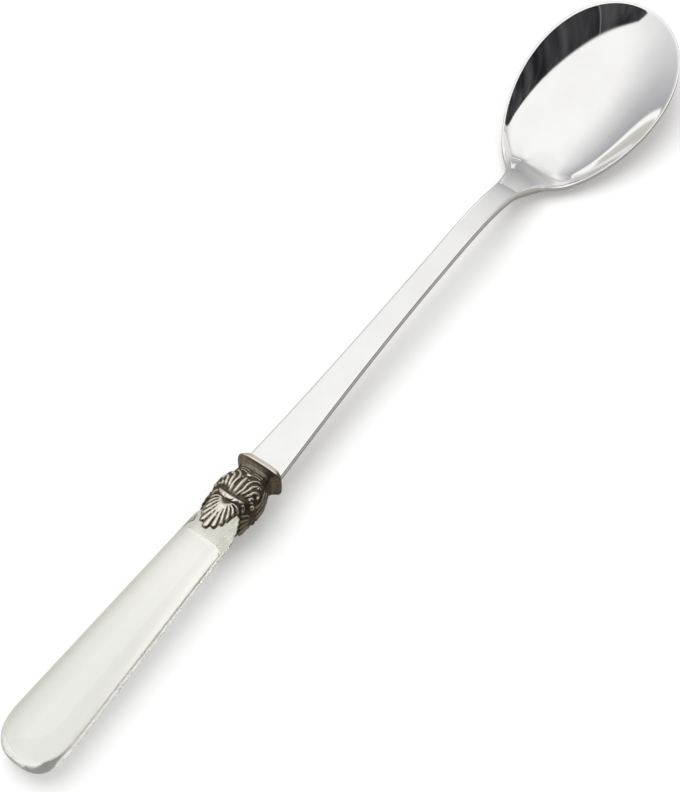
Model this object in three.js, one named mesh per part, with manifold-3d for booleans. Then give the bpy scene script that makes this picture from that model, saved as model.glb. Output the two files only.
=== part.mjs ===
import * as THREE from 'three';
import { mergeVertices } from 'three/addons/utils/BufferGeometryUtils.js';
import Module from 'manifold-3d';

// A long sorbet spoon lying on a table, in millimetres.
// A pressed steel bowl and stem carries a flat tang. The tang passes through a cast
// ornamental ferrule and is cemented into the socket of a clear moulded handle.
// Places along the spoon are measured from the butt of the handle towards the bowl's tip.

// Lengths along the spoon, one after another
const handleShownLength = 60.6;      // clear handle, up to the tip of the ferrule's top leaf
const leafLength = 8.4;              // ferrule leaf, tip to root
const tieLength = 2.2;               // raised tie across the leaf's root
const scrollLength = 5.6;            // field with the two scrolls
const waistLength = 1.2;
const collarRise = 1.9;              // waist to the collar's ridge
const collarFall = 1.1;              // ridge to the collar's face
const stemLength = 89.0;             // collar face to the hollow's edge at the neck
const bowlLength = 50.6;             // hollow's edge at the neck to the bowl's tip

// Handle: widths and thicknesses of its straight taper, before the butt is rounded
const handleButtWidth = 14.9;
const handleButtThickness = 13.9;
const handleFrontWidth = 9.95;
const handleFrontThickness = 9.1;
const buttRounding = 10.8;           // length of the rounded end
const spigotLength = 11.6;           // part of the handle that is seated in the ferrule
const spigotStep = 0.65;             // how much slimmer the spigot is, all round
const spigotShoulder = 3.2;          // full-size length under the tip of the top leaf
const spigotTaper = 2.6;             // length over which it gets slimmer
const buttTip = 0.015;               // the butt's first ring stands this far in
const restFlat = 0.12;               // depth of the flats worn under the butt and the bowl

// Ferrule: half widths and half heights of its body, before the carving
const skirtWidth = 8.9;
const skirtHeight = 10.2;
const leafRootWidth = 9.8;
const bodyWidth = 10.8;
const bodyHeight = 10.0;
const waistWidth = 8.2;
const waistHeight = 7.4;
const ridgeWidth = 10.9;
const ridgeHeight = 9.0;
const faceWidth = 9.3;
const faceHeight = 7.9;
const seatDepth = 0.9;               // recess in the collar's face that the stem stands in

// Ferrule carving
const leafHalfWidth = 3.7;           // half the spread of the top and bottom leaves
const rootHalfWidth = 1.4;           // half the width of their ribs where the tie holds them
const leafRibs = 9;
const ribRelief = 0.24;
const scallop = 0.4;
const sideLeafLength = 3.0;
const sideLeafHalfWidth = 2.9;
const skirtNotch = 1.2;              // bare edge between two leaves, ahead of the root
const tieRelief = 0.42;
const scrollRadius = 3.3;
const scrollPitch = 1.1;             // from one turn of a scroll to the next
const scrollRelief = 0.3;
const scrollOffset = 3.9;            // scroll's eye from the centre line, round the body
const beadRadius = 0.62;
const smallBeadRadius = 0.42;
const grooveDepth = 0.16;
const grooveCount = 3;

// Tang, stem and the cement round the tang
const tangWidth = 4.4;
const tangThickness = 1.8;
const tangLength = 19.4;             // length hidden behind the collar's face
const cementWall = 0.45;
const cementEnd = 0.7;
const clearance = 0.25;              // between pieces that seat in each other
const stemStartWidth = 8.4;
const stemWaistWidth = 4.7;
const stemThickness = 1.8;
const stemEdge = 0.25;               // softened long edges

// Side view of the stem: heights of its upper face above the table
const gripSlope = 0.022;            // rise of the handle and tang along their length
const archHeight = 10.6;
const neckHeight = 6.3;
const neckSlope = 0.55;              // steepest fall, at the neck
const rimPickup = 7.8;               // length over which the fall turns into the bowl's rim

// Bowl
const bowlWidth = 31.6;
const bowlDepth = 5.0;               // rim to the bottom of the hollow
const bowlWall = 0.9;
const rimWidth = 1.05;
const rimEdge = 0.5;                 // height of the rim's outer edge
const rimSlope = 0.2263;             // rise of the rim towards the tip
const neckRounding = 3.2;            // round end of the bowl's outline, inside the stem
const neckThickness = 2.1;           // stem where it runs into the bowl
const neckLead = 5.0;                // the stem starts to widen this far ahead of the hollow
const neckFlareLength = 9.0;
const neckFlare = 2.0;               // growth of its half width over that length
const neckFillet = 2.0;              // softens the corner between stem and bowl
const barRunOn = 6.5;                // stem's bar runs on this far under the bowl
const barRunOnWidth = 8.4;
const rimSink = 0.03;                // it stays this far under the rim's face
const cutOverrun = 3.0;              // cutters reach this far past what they cut

// Shapes as shares of the sizes above, and powers of their curves
const archShare = 0.68;              // place of the stem's highest point
const waistShare = 0.8;              // place of the stem's narrowest point
const taperPowerShare = 2.1;
const bowlCentreShare = 0.55;
const hollowPowerShare = 2.05;        // 2 is a round hollow, more makes its walls steeper
const eggShares = [0.873, 0.231, 0.07];
const eggStartShare = 0.066;         // where the egg outline starts past the hollow's edge
const eggTailShare = 0.7;            // how fast the outline closes ahead of that
const scrollEyeShare = 0.42;
const shoulderShare = 0.22;          // body's width still left to lose at the end of the scrolls
const leafLipShare = 0.5;            // how far the leafy edge is filled in before it is cut out
const lipReliefShare = 0.35;         // height of a rib at the leaf's edge
const grooveReliefShare = 0.4;       // depth between two ribs
const ribSwellShare = 0.77;          // place where a rib is full
const tieFloorShare = 0.35;          // height of the tie round the sides
const beadSetShare = 0.5;            // how deep the large bead sits in the waist
const beadStepShare = 2.3;           // from one small bead to the next, in bead radii
const leafTipPower = 1.8;
const sidePower = 2;
const ovalPower = 4;                 // how late the oval bottom turns into the egg outline
const stationPower = 1.5;
const buttStepPower = 1.3;
const sectionPower = 2.3;            // 2 is an ellipse, more is squarer
const collarPower = 3.3;
const buttPower = 2.9;

// Mesh fineness
const handleSides = 32;
const buttSteps = 9;
const taperSteps = 6;
const stemStations = 34;
const bowlRings = 9;
const lidRings = 3;
const leafRows = 9;
const tieRows = 6;
const scrollRows = 15;
const waistRows = 4;
const grooveRows = 4;                // for each groove
const smallBeads = 3;
const bowlSteps = 56;
const sideColumns = 14;

// Places along the spoon that follow from the lengths
const leafRootX = handleShownLength + leafLength;
const tieEndX = leafRootX + tieLength;
const waistX = tieEndX + scrollLength;
const collarStartX = waistX + waistLength;
const ridgeX = collarStartX + collarRise;
const collarFaceX = ridgeX + collarFall;
const neckX = collarFaceX + stemLength;
const tipX = neckX + bowlLength;
const handleEndX = handleShownLength + spigotLength;
const tangEndX = collarFaceX - tangLength;
const bowlCentreX = neckX + bowlLength * bowlCentreShare;
const eggStartX = neckX + bowlLength * eggStartShare;

const wasm = await Module();
wasm.setup();

const lerp = THREE.MathUtils.lerp;
const clamp = THREE.MathUtils.clamp;

// Closed solid through a row of rings that all have the same number of points
function loft(rings) {
  const sides = rings[0].length;
  const points = [];
  const index = [];
  for (const ring of rings) points.push(...ring);
  for (let row = 0; row + 1 < rings.length; row += 1) {
    for (let side = 0; side < sides; side += 1) {
      const next = (side + 1) % sides;
      const a = row * sides + side;
      const b = row * sides + next;
      const c = a + sides;
      const d = b + sides;
      index.push(a, b, d, a, d, c);
    }
  }
  const lastRow = (rings.length - 1) * sides;
  const firstCentre = points.length;
  points.push(centreOf(rings[0]));
  points.push(centreOf(rings[rings.length - 1]));
  for (let side = 0; side < sides; side += 1) {
    const next = (side + 1) % sides;
    index.push(firstCentre, next, side);
    index.push(firstCentre + 1, lastRow + side, lastRow + next);
  }
  const geometry = new THREE.BufferGeometry().setFromPoints(points);
  geometry.setIndex(index);
  if (signedVolume(geometry) < 0) {
    for (let i = 0; i < index.length; i += 3) {
      [index[i], index[i + 1]] = [index[i + 1], index[i]];
    }
    geometry.setIndex(index);
  }
  return geometry;
}

function centreOf(ring) {
  const centre = new THREE.Vector3();
  for (const point of ring) centre.add(point);
  return centre.divideScalar(ring.length);
}

function signedVolume(geometry) {
  const position = geometry.attributes.position;
  const index = geometry.index;
  const corners = [new THREE.Vector3(), new THREE.Vector3(), new THREE.Vector3()];
  let volume = 0;
  for (let i = 0; i < index.count; i += 3) {
    corners.forEach((corner, k) => corner.fromBufferAttribute(position, index.getX(i + k)));
    volume += corners[0].dot(corners[1].cross(corners[2]));
  }
  return volume;
}

function toSolid(geometry) {
  const bare = geometry.clone();
  bare.deleteAttribute('normal');
  bare.deleteAttribute('uv');
  const merged = mergeVertices(bare);
  return new wasm.Manifold(new wasm.Mesh({
    numProp: 3,
    vertProperties: new Float32Array(merged.attributes.position.array),
    triVerts: new Uint32Array(merged.index.array),
  }));
}

function toGeometry(solid) {
  const mesh = solid.getMesh();
  const geometry = new THREE.BufferGeometry();
  geometry.setAttribute('position', new THREE.BufferAttribute(mesh.vertProperties, 3));
  geometry.setIndex(new THREE.BufferAttribute(mesh.triVerts, 1));
  geometry.computeVertexNormals();
  return geometry;
}

// Point of a rounded section, at an angle from its top
function sectionPoint(x, halfWidth, halfHeight, height, angle, power) {
  const across = Math.sin(angle);
  const up = Math.cos(angle);
  const y = halfWidth * Math.sign(across) * Math.abs(across) ** (2 / power);
  const z = halfHeight * Math.sign(up) * Math.abs(up) ** (2 / power);
  return new THREE.Vector3(x, y, height + z);
}

function sectionRing(x, halfWidth, halfHeight, height, sides, power) {
  const ring = [];
  for (let side = 0; side < sides; side += 1) {
    ring.push(sectionPoint(x, halfWidth, halfHeight, height, side / sides * Math.PI * 2, power));
  }
  return ring;
}

// Flat bar whose long edges are softened, as one ring
function barRing(x, halfWidth, top, bottom, edge) {
  const corners = [
    [-halfWidth + edge, top], [halfWidth - edge, top],
    [halfWidth, top - edge], [halfWidth, bottom + edge],
    [halfWidth - edge, bottom], [-halfWidth + edge, bottom],
    [-halfWidth, bottom + edge], [-halfWidth, top - edge],
  ];
  return corners.map(([y, z]) => new THREE.Vector3(x, y, z));
}

// Plain square-edged box along the sloping grip, used for the tang's passages
function gripBox(startX, endX, width, thickness) {
  const ring = (x) => {
    const z = gripHeight(x);
    const half = thickness / 2;
    return [
      new THREE.Vector3(x, -width / 2, z - half), new THREE.Vector3(x, width / 2, z - half),
      new THREE.Vector3(x, width / 2, z + half), new THREE.Vector3(x, -width / 2, z + half),
    ];
  };
  return loft([ring(startX), ring(endX)]);
}

// Cubic through two heights with given slopes
function hermite(x, from, to) {
  const length = to.x - from.x;
  const t = (x - from.x) / length;
  const t2 = t * t;
  const t3 = t2 * t;
  return (2 * t3 - 3 * t2 + 1) * from.z + (t3 - 2 * t2 + t) * length * from.slope
    + (3 * t2 - 2 * t3) * to.z + (t3 - t2) * length * to.slope;
}

// Handle taper: half width and half thickness at a place along the handle
function handleHalf(x, buttSize, frontSize, shrink) {
  const straight = lerp(buttSize, frontSize, x / handleShownLength) / 2;
  const round = 1 - clamp(x / buttRounding, 0, 1);
  const seated = clamp((x - handleShownLength - spigotShoulder) / spigotTaper, 0, 1);
  return straight * (1 - round ** buttPower) ** (1 / buttPower) - seated * shrink;
}

// Height of the grip's centre line. The fattest place of the handle rests on the table.
const gripLift = (() => {
  let lowest = Infinity;
  const samples = 200;
  for (let i = 0; i <= samples; i += 1) {
    const x = handleShownLength * i / samples;
    lowest = Math.min(lowest, gripSlope * x - handleHalf(x, handleButtThickness, handleFrontThickness, 0));
  }
  return -restFlat - lowest;
})();

function gripHeight(x) {
  return gripLift + gripSlope * x;
}

// Bowl: outline, hollow and rim
function stemHalfWidth(x) {
  const narrowX = collarFaceX + stemLength * waistShare;
  const left = clamp((narrowX - x) / (narrowX - collarFaceX), 0, 1);
  const flare = clamp((x - neckX + neckLead) / neckFlareLength, 0, 1);
  return lerp(stemWaistWidth, stemStartWidth, left ** taperPowerShare) / 2 + neckFlare * flare * flare;
}

function eggHalfWidth(x) {
  const q = (x - eggStartX) / (tipX - eggStartX);
  if (q < 0) return (x - eggStartX) * eggTailShare;
  const fullness = eggShares[0] + eggShares[1] * q + eggShares[2] * q * q;
  return bowlWidth * Math.sqrt(q * Math.max(1 - q, 0)) * fullness;
}

function spoonHalfWidth(x) {
  const stem = stemHalfWidth(x);
  const egg = eggHalfWidth(x);
  const blend = Math.hypot(stem - egg, neckFillet * Math.min(1, (tipX - x) / bowlLength));
  return (stem + egg + blend) / 2;
}

const bowlStartX = neckX - rimWidth;

function bowlOutline() {
  const points = [];
  const middle = (bowlStartX + tipX) / 2;
  const half = (tipX - bowlStartX) / 2;
  for (let step = 0; step < bowlSteps; step += 1) {
    const angle = step / bowlSteps * Math.PI * 2;
    const x = middle - half * Math.cos(angle);
    const open = clamp((x - bowlStartX) / neckRounding, 0, 1);
    const closing = Math.sqrt(open * (2 - open));
    const end = x > bowlCentreX ? eggHalfWidth(x) : spoonHalfWidth(x);
    points.push(new THREE.Vector2(x, end * closing * Math.sign(Math.sin(angle))));
  }
  return points;
}

// How far out each ring of the bowl lies, closer together towards the rim
function reaches(count) {
  const list = [];
  for (let i = 1; i <= count; i += 1) list.push(Math.sin(i / count * Math.PI / 2));
  return list;
}

function hollowShare(reach) {
  return 1 - reach ** hollowPowerShare;
}

// The rim's height at the bowl's centre follows from the bowl resting on its lowest point
const rimCentreHeight = (() => {
  let lowest = Infinity;
  const samples = 200;
  const outerDepth = bowlDepth + bowlWall;
  for (let i = 0; i <= samples; i += 1) {
    const reach = i / samples;
    const x = (bowlStartX - bowlCentreX) * reach;
    lowest = Math.min(lowest, x * rimSlope - outerDepth * hollowShare(reach));
  }
  return -restFlat - lowest;
})();

function rimLine(x) {
  return rimCentreHeight + (x - bowlCentreX) * rimSlope;
}

// Height of the upper face along the stem, the neck and the rim
function topHeight(x) {
  const start = { x: collarFaceX, z: gripHeight(collarFaceX) + stemThickness / 2, slope: gripSlope };
  const arch = { x: collarFaceX + stemLength * archShare, z: archHeight, slope: 0 };
  const neck = { x: neckX, z: neckHeight, slope: -neckSlope };
  const rim = { x: neckX + rimPickup, z: rimLine(neckX + rimPickup), slope: rimSlope };
  if (x < start.x) return start.z + (x - start.x) * gripSlope;
  if (x < arch.x) return hermite(x, start, arch);
  if (x < neck.x) return hermite(x, arch, neck);
  if (x < rim.x) return hermite(x, neck, rim);
  return rimLine(x);
}

// One ring of the bowl. Towards the bottom the egg outline eases into an oval.
function bowlRing(outline, reach, scaleX, scaleY, drop) {
  const middle = (bowlStartX + tipX) / 2;
  const half = (tipX - bowlStartX) / 2;
  return outline.map((point) => {
    const x = bowlCentreX + (point.x - bowlCentreX) * reach * scaleX;
    const oval = bowlWidth / 2 * Math.sqrt(Math.max(0, 1 - ((point.x - middle) / half) ** 2));
    const y = lerp(oval * Math.sign(point.y), point.y, reach ** ovalPower);
    return new THREE.Vector3(x, y * reach * scaleY, topHeight(x) - drop);
  });
}

// Outer body of the bowl, still full, from its bottom to the rim's upper face
function bowlBody(outline) {
  const outerDepth = bowlDepth + bowlWall - rimEdge;
  const rings = reaches(bowlRings).map((reach) => {
    return bowlRing(outline, reach, 1, 1, rimEdge + outerDepth * hollowShare(reach));
  });
  rings.push(bowlRing(outline, 1, 1, 1, 0));
  for (let i = lidRings; i > 0; i -= 1) rings.push(bowlRing(outline, i / (lidRings + 1), 1, 1, 0));
  return loft(rings);
}

// The hollow, with room above it so that it cuts the rim open
function bowlHollow(outline) {
  const scaleX = 1 - rimWidth / (tipX - bowlCentreX);
  const scaleY = 1 - rimWidth / (bowlWidth / 2);
  const rings = reaches(bowlRings).map((reach) => {
    return bowlRing(outline, reach, scaleX, scaleY, bowlDepth * hollowShare(reach));
  });
  rings.push(bowlRing(outline, 1, scaleX, scaleY, -cutOverrun));
  return loft(rings);
}

// Stem and tang as one flat bar of changing width, which runs on into the bowl's wall
function stemBar() {
  const rings = [];
  const tangTop = (x) => gripHeight(x) + tangThickness / 2;
  const shoulderX = collarFaceX - seatDepth + clearance;
  for (const x of [tangEndX, shoulderX]) {
    rings.push(barRing(x, tangWidth / 2, tangTop(x), tangTop(x) - tangThickness, stemEdge));
  }
  const joinX = neckX + barRunOn;
  for (let i = 0; i <= stemStations; i += 1) {
    const share = i / stemStations;
    const x = lerp(shoulderX, joinX, 1 - (1 - share) ** stationPower);
    const top = topHeight(x) - (x > neckX ? rimSink : 0);
    const neckward = clamp((x - neckX) / neckLead + 1, 0, 1);
    const thickness = lerp(stemThickness, neckThickness, neckward);
    const halfWidth = x < neckX ? spoonHalfWidth(x) : Math.min(spoonHalfWidth(x), barRunOnWidth / 2);
    rings.push(barRing(x, halfWidth, top, top - thickness, stemEdge));
  }
  return loft(rings);
}

function tableCut(width) {
  const box = new THREE.BoxGeometry(tipX * 2, width, cutOverrun);
  return box.translate(tipX / 2, 0, -cutOverrun / 2);
}

function bowlAndStem() {
  const outline = bowlOutline();
  const body = toSolid(bowlBody(outline)).add(toSolid(stemBar()));
  return toGeometry(body.subtract(toSolid(bowlHollow(outline))).subtract(toSolid(tableCut(bowlWidth * 2))));
}

// Handle with its rounded butt, its spigot and the blind socket for the tang
function handleLoft(grow, startX, endX) {
  const places = [];
  for (let i = 1; i <= buttSteps; i += 1) {
    places.push(buttRounding * (1 - Math.cos(i / buttSteps * Math.PI / 2)) ** buttStepPower);
  }
  for (let i = 1; i <= taperSteps; i += 1) places.push(lerp(buttRounding, handleShownLength, i / taperSteps));
  places.push(handleShownLength + spigotShoulder, handleShownLength + spigotShoulder + spigotTaper);
  const kept = [startX, ...places.filter((x) => x > startX && x < endX), endX];
  return loft(kept.map((x) => {
    const halfWidth = handleHalf(x, handleButtWidth, handleFrontWidth, spigotStep) + grow;
    const halfHeight = handleHalf(x, handleButtThickness, handleFrontThickness, spigotStep) + grow;
    return sectionRing(x, halfWidth, halfHeight, gripHeight(x), handleSides, sectionPower);
  }));
}

const cementGap = cementWall + clearance * 2;
const socketEndX = tangEndX - cementEnd - clearance * 2;

function handleSolid() {
  const outer = toSolid(handleLoft(0, buttTip, handleEndX));
  const socket = toSolid(gripBox(
    socketEndX, handleEndX + cutOverrun, tangWidth + cementGap * 2, tangThickness + cementGap * 2,
  ));
  return toGeometry(outer.subtract(socket).subtract(toSolid(tableCut(handleButtWidth * 2))));
}

// Cement that fills the socket round the tang
function cementSolid() {
  const outer = toSolid(gripBox(
    socketEndX + clearance, handleEndX - clearance,
    tangWidth + (cementWall + clearance) * 2, tangThickness + (cementWall + clearance) * 2,
  ));
  const passage = toSolid(gripBox(
    tangEndX - clearance, handleEndX + cutOverrun, tangWidth + clearance * 2, tangThickness + clearance * 2,
  ));
  return toGeometry(outer.subtract(passage));
}

// Ferrule. Distances round its body are measured from the centre line of its top or bottom.
const bodyRadius = (bodyWidth + bodyHeight) / 4;
const quarterRound = bodyRadius * Math.PI / 2;

function ferruleColumns() {
  const columns = [];
  for (const side of [0, 1]) {
    for (let i = -leafRibs; i <= leafRibs; i += 1) {
      const share = i / leafRibs;
      columns.push({
        base: side * quarterRound * 2,
        crest: (i + leafRibs) % 2 === 1,
        leaf: true,
        edge: share * leafHalfWidth,
        root: share * rootHalfWidth,
      });
    }
    for (let i = 1; i < sideColumns; i += 1) {
      const share = i / sideColumns;
      columns.push({
        base: side * quarterRound * 2,
        crest: i % 2 === 1,
        leaf: false,
        edge: lerp(leafHalfWidth, quarterRound * 2 - leafHalfWidth, share),
        root: lerp(rootHalfWidth, quarterRound * 2 - rootHalfWidth, share),
      });
    }
  }
  return columns;
}

// Where the ferrule's leafy edge lies along the spoon
function leafEdgeX(column) {
  const notchX = leafRootX - skirtNotch;
  const cut = column.crest ? 0 : scallop;
  if (column.leaf) {
    const out = Math.abs(column.edge) / leafHalfWidth;
    return lerp(handleShownLength, notchX, out ** leafTipPower) + cut * (1 - out);
  }
  const off = Math.abs(column.edge - quarterRound) / sideLeafHalfWidth;
  return Math.min(leafRootX - sideLeafLength + cut + (sideLeafLength - skirtNotch) * off ** sidePower, notchX);
}

// Body of the ferrule before carving: half width, half height and squareness
function ferruleBody(x) {
  const places = [
    [handleShownLength, skirtWidth, skirtHeight, sectionPower],
    [leafRootX, leafRootWidth, bodyHeight, sectionPower],
    [tieEndX, bodyWidth, bodyHeight, sectionPower],
    [waistX, lerp(waistWidth, bodyWidth, shoulderShare), lerp(waistHeight, bodyHeight, shoulderShare), sectionPower],
    [collarStartX, waistWidth, waistHeight, collarPower],
    [ridgeX, ridgeWidth, ridgeHeight, collarPower],
    [collarFaceX, faceWidth, faceHeight, collarPower],
  ];
  let i = 0;
  while (i + 2 < places.length && x > places[i + 1][0]) i += 1;
  const [from, to] = [places[i], places[i + 1]];
  const t = clamp((x - from[0]) / (to[0] - from[0]), 0, 1);
  const bend = i === 2 ? t * t : t;
  return {
    halfWidth: lerp(from[1], to[1], bend) / 2,
    halfHeight: lerp(from[2], to[2], bend) / 2,
    power: lerp(from[3], to[3], t),
  };
}

function bump(distance, radius) {
  const t = clamp(distance / radius, 0, 1);
  return Math.sqrt(1 - t * t);
}

// Height of the carving over the body, at a distance round from the nearer centre line
function carving(around, x) {
  const wrap = quarterRound * 2;
  const w = Math.abs(((around + quarterRound) % wrap + wrap) % wrap - quarterRound);
  const tieMiddle = (leafRootX + tieEndX) / 2;
  const tieSide = clamp((scrollOffset - w) / rootHalfWidth, tieFloorShare, 1);
  let height = tieRelief * tieSide * bump(Math.abs(x - tieMiddle), tieLength / 2);
  if (x > tieEndX && x < waistX + waistLength) {
    const eyeX = lerp(tieEndX, waistX, scrollEyeShare);
    const reach = Math.hypot(x - eyeX, w - scrollOffset);
    const turns = 0.5 + 0.5 * Math.cos(reach / scrollPitch * Math.PI * 2);
    const scroll = scrollRelief * turns * clamp((scrollRadius - reach) / scrollPitch + 0.5, 0, 1);
    const beadX = waistX - beadRadius * beadSetShare;
    let beads = beadRadius * bump(Math.hypot(x - beadX, w), beadRadius);
    for (let i = 0; i < smallBeads; i += 1) {
      const nextX = beadX - beadRadius - smallBeadRadius * (1 + beadStepShare * i);
      beads = Math.max(beads, smallBeadRadius * bump(Math.hypot(x - nextX, w), smallBeadRadius));
    }
    height = Math.max(height, scroll, beads);
  }
  if (x > collarStartX && x < ridgeX) {
    const t = (x - collarStartX) / collarRise;
    height -= grooveDepth * (0.5 - 0.5 * Math.cos(t * grooveCount * Math.PI * 2));
  }
  return height;
}

function ferruleRows() {
  const rows = [];
  const addRows = (from, to, count) => {
    for (let i = 0; i < count; i += 1) rows.push(lerp(from, to, i / count));
  };
  addRows(leafRootX, tieEndX, tieRows);
  addRows(tieEndX, waistX, scrollRows);
  addRows(waistX, collarStartX, waistRows);
  addRows(collarStartX, ridgeX, grooveCount * grooveRows);
  rows.push(ridgeX, collarFaceX);
  return rows;
}

function ferruleOuter() {
  const columns = ferruleColumns();
  const rings = [];
  const place = (x, around, extra) => {
    const body = ferruleBody(x);
    return sectionPoint(
      x, body.halfWidth + extra, body.halfHeight + extra, gripHeight(x), around / bodyRadius, body.power,
    );
  };
  rings.push(columns.map((column) => {
    const point = place(leafEdgeX(column), column.base + column.edge, 0);
    return new THREE.Vector3(point.x, 0, gripHeight(point.x)).lerp(point, leafLipShare);
  }));
  for (let row = 0; row < leafRows; row += 1) {
    const v = row / leafRows;
    rings.push(columns.map((column) => {
      const x = lerp(leafEdgeX(column), leafRootX, v);
      const around = lerp(column.edge, column.root, v);
      const swell = Math.sin(clamp(v / ribSwellShare, 0, 1) * Math.PI / 2);
      const crest = ribRelief * lerp(lipReliefShare, 1, swell);
      return place(x, column.base + around, column.crest ? crest : -ribRelief * grooveReliefShare * swell);
    }));
  }
  for (const x of ferruleRows()) {
    const spread = clamp((x - leafRootX) / tieLength, 0, 1);
    rings.push(columns.map((column) => {
      const around = column.base + lerp(column.root, column.edge, spread);
      return place(x, around, carving(around, x));
    }));
  }
  return loft(rings);
}

function ferruleSolid() {
  const cup = toSolid(handleLoft(clearance, handleShownLength - leafLength, handleEndX + clearance));
  const passage = toSolid(gripBox(
    handleShownLength, collarFaceX + cutOverrun, tangWidth + clearance * 2, tangThickness + clearance * 2,
  ));
  const seat = toSolid(gripBox(
    collarFaceX - seatDepth, collarFaceX + cutOverrun,
    stemStartWidth + clearance * 2, stemThickness + clearance * 2,
  ));
  return toGeometry(toSolid(ferruleOuter()).subtract(cup).subtract(passage).subtract(seat));
}

function piece(name, geometry, color, roughness, metalness, opacity) {
  const material = new THREE.MeshStandardMaterial({ color, roughness, metalness });
  material.opacity = opacity;
  material.transparent = opacity < 1;
  const mesh = new THREE.Mesh(geometry, material);
  mesh.name = name;
  return mesh;
}

const spoon = new THREE.Group();
spoon.add(piece('bowl_and_stem', bowlAndStem(), 0xe4e4e2, 0.08, 1, 1));
spoon.add(piece('ferrule', ferruleSolid(), 0x8f8573, 0.42, 1, 1));
spoon.add(piece('handle', handleSolid(), 0xeceeea, 0.05, 0, 0.45));
spoon.add(piece('socket_cement', cementSolid(), 0xe6e6dc, 0.3, 0, 0.7));
spoon.position.x = -tipX / 2;

const sorbetSpoon = new THREE.Group();
sorbetSpoon.add(spoon);

export default sorbetSpoon;
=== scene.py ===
import math

import bpy
import numpy as np
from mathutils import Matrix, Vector


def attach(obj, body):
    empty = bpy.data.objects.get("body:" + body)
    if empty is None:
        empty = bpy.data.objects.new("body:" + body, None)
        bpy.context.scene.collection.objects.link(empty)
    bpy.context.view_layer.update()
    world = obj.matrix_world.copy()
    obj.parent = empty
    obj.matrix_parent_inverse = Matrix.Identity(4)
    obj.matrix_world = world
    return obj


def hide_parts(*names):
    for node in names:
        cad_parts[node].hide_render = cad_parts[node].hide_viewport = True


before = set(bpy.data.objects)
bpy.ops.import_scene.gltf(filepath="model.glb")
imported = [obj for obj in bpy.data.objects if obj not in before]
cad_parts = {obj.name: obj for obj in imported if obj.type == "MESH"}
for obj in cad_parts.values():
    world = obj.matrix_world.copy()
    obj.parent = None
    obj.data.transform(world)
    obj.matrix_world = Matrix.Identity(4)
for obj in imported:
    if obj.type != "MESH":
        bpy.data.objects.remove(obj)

# A long sorbet spoon on a white table. The shapes below are worked out in millimetres,
# from the butt of the handle towards the bowl's tip, and moved into the frame in metres.

print("frame loaded:", sorted(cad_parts))
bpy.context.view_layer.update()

spoonLength = 220.6       # butt to tip
halfLength = spoonLength / 2
mm = 0.001
tiny = 1e-6               # keeps divisions off nought and allows for rounding


def clearSelection():
    if bpy.context.object and bpy.context.object.mode != "OBJECT":
        bpy.ops.object.mode_set(mode="OBJECT")
    bpy.ops.object.select_all(action="DESELECT")


def readPlaces(piece):
    places = np.zeros(len(piece.data.vertices) * 3)
    piece.data.vertices.foreach_get("co", places)
    return places.reshape(-1, 3)


def writePlaces(piece, places):
    piece.data.vertices.foreach_set("co", np.ascontiguousarray(places, dtype=np.float32).ravel())
    piece.data.update()


def toFrame(places):
    moved = np.array(places, float)
    moved[..., 0] -= halfLength
    return moved * mm


def lerp(a, b, t):
    return a + (b - a) * t


def clamp01(value):
    return np.clip(value, 0, 1)


def easeStep(start, end, value):      # 0 before start, 1 after end, smooth between
    t = clamp01((value - start) / (end - start))
    return t * t * (3 - 2 * t)


def softMax(a, b, size):              # the larger of two heights, with the corner rounded
    return (a + b + np.sqrt((a - b) ** 2 + size ** 2)) / 2


def startSphere(name, segments, rings):   # returns the piece with each vertex's ring and segment
    clearSelection()
    bpy.ops.mesh.primitive_uv_sphere_add(segments=segments, ring_count=rings, radius=1)
    piece = bpy.context.object
    piece.name = name
    piece.data.name = name
    places = readPlaces(piece)
    ring = np.rint(np.arccos(np.clip(places[:, 2], -1, 1)) / math.pi * rings).astype(int)
    turn = np.arctan2(places[:, 1], places[:, 0]) / (2 * math.pi)
    return piece, ring, np.rint(turn * segments).astype(int) % segments


def finishPiece(piece, node, material, sharpAngle):
    clearSelection()
    piece.select_set(True)
    bpy.context.view_layer.objects.active = piece
    bpy.ops.object.mode_set(mode="EDIT")
    bpy.ops.mesh.select_all(action="SELECT")
    bpy.ops.mesh.normals_make_consistent(inside=False)
    bpy.ops.object.mode_set(mode="OBJECT")
    bpy.ops.object.shade_smooth_by_angle(angle=math.radians(sharpAngle))
    piece.data.materials.clear()
    piece.data.materials.append(material)
    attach(piece, "root")
    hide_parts(node)
    print(piece.name, len(piece.data.polygons), "faces")


# Materials

def hexColour(code):                  # sRGB hex to linear
    parts = [int(code[i:i + 2], 16) / 255 for i in (1, 3, 5)]
    return [c / 12.92 if c <= 0.04045 else ((c + 0.055) / 1.055) ** 2.4 for c in parts] + [1]


def addNode(tree, kind, settings=None, values=None, links=None, stops=None):
    node = tree.nodes.new(kind)
    for name, value in (settings or {}).items():
        setattr(node, name, value)
    for socket, value in (values or {}).items():
        node.inputs[socket].default_value = value
    for socket, source in (links or {}).items():
        tree.links.new(source, node.inputs[socket])
    if stops:                         # places along a colour ramp, with the hex colour at each
        elements = node.color_ramp.elements
        while len(elements) < len(stops):
            elements.new(0.5)
        for element, (position, code) in zip(elements, stops):
            element.position = position
            element.color = hexColour(code)
    return node


def newMaterial(name, values):        # values for the shader that don't change over the surface
    material = bpy.data.materials.new(name)
    material.use_nodes = True
    tree = material.node_tree
    tree.nodes.clear()
    shader = addNode(tree, "ShaderNodeBsdfPrincipled", values=values)
    addNode(tree, "ShaderNodeOutputMaterial", links={"Surface": shader.outputs[0]})
    place = addNode(tree, "ShaderNodeTexCoord").outputs["Object"]
    return material, tree, shader, place


def varyColour(tree, shader, value, stops):
    ramp = addNode(tree, "ShaderNodeValToRGB", links={"Fac": value}, stops=stops)
    tree.links.new(ramp.outputs["Color"], shader.inputs["Base Color"])


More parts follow.
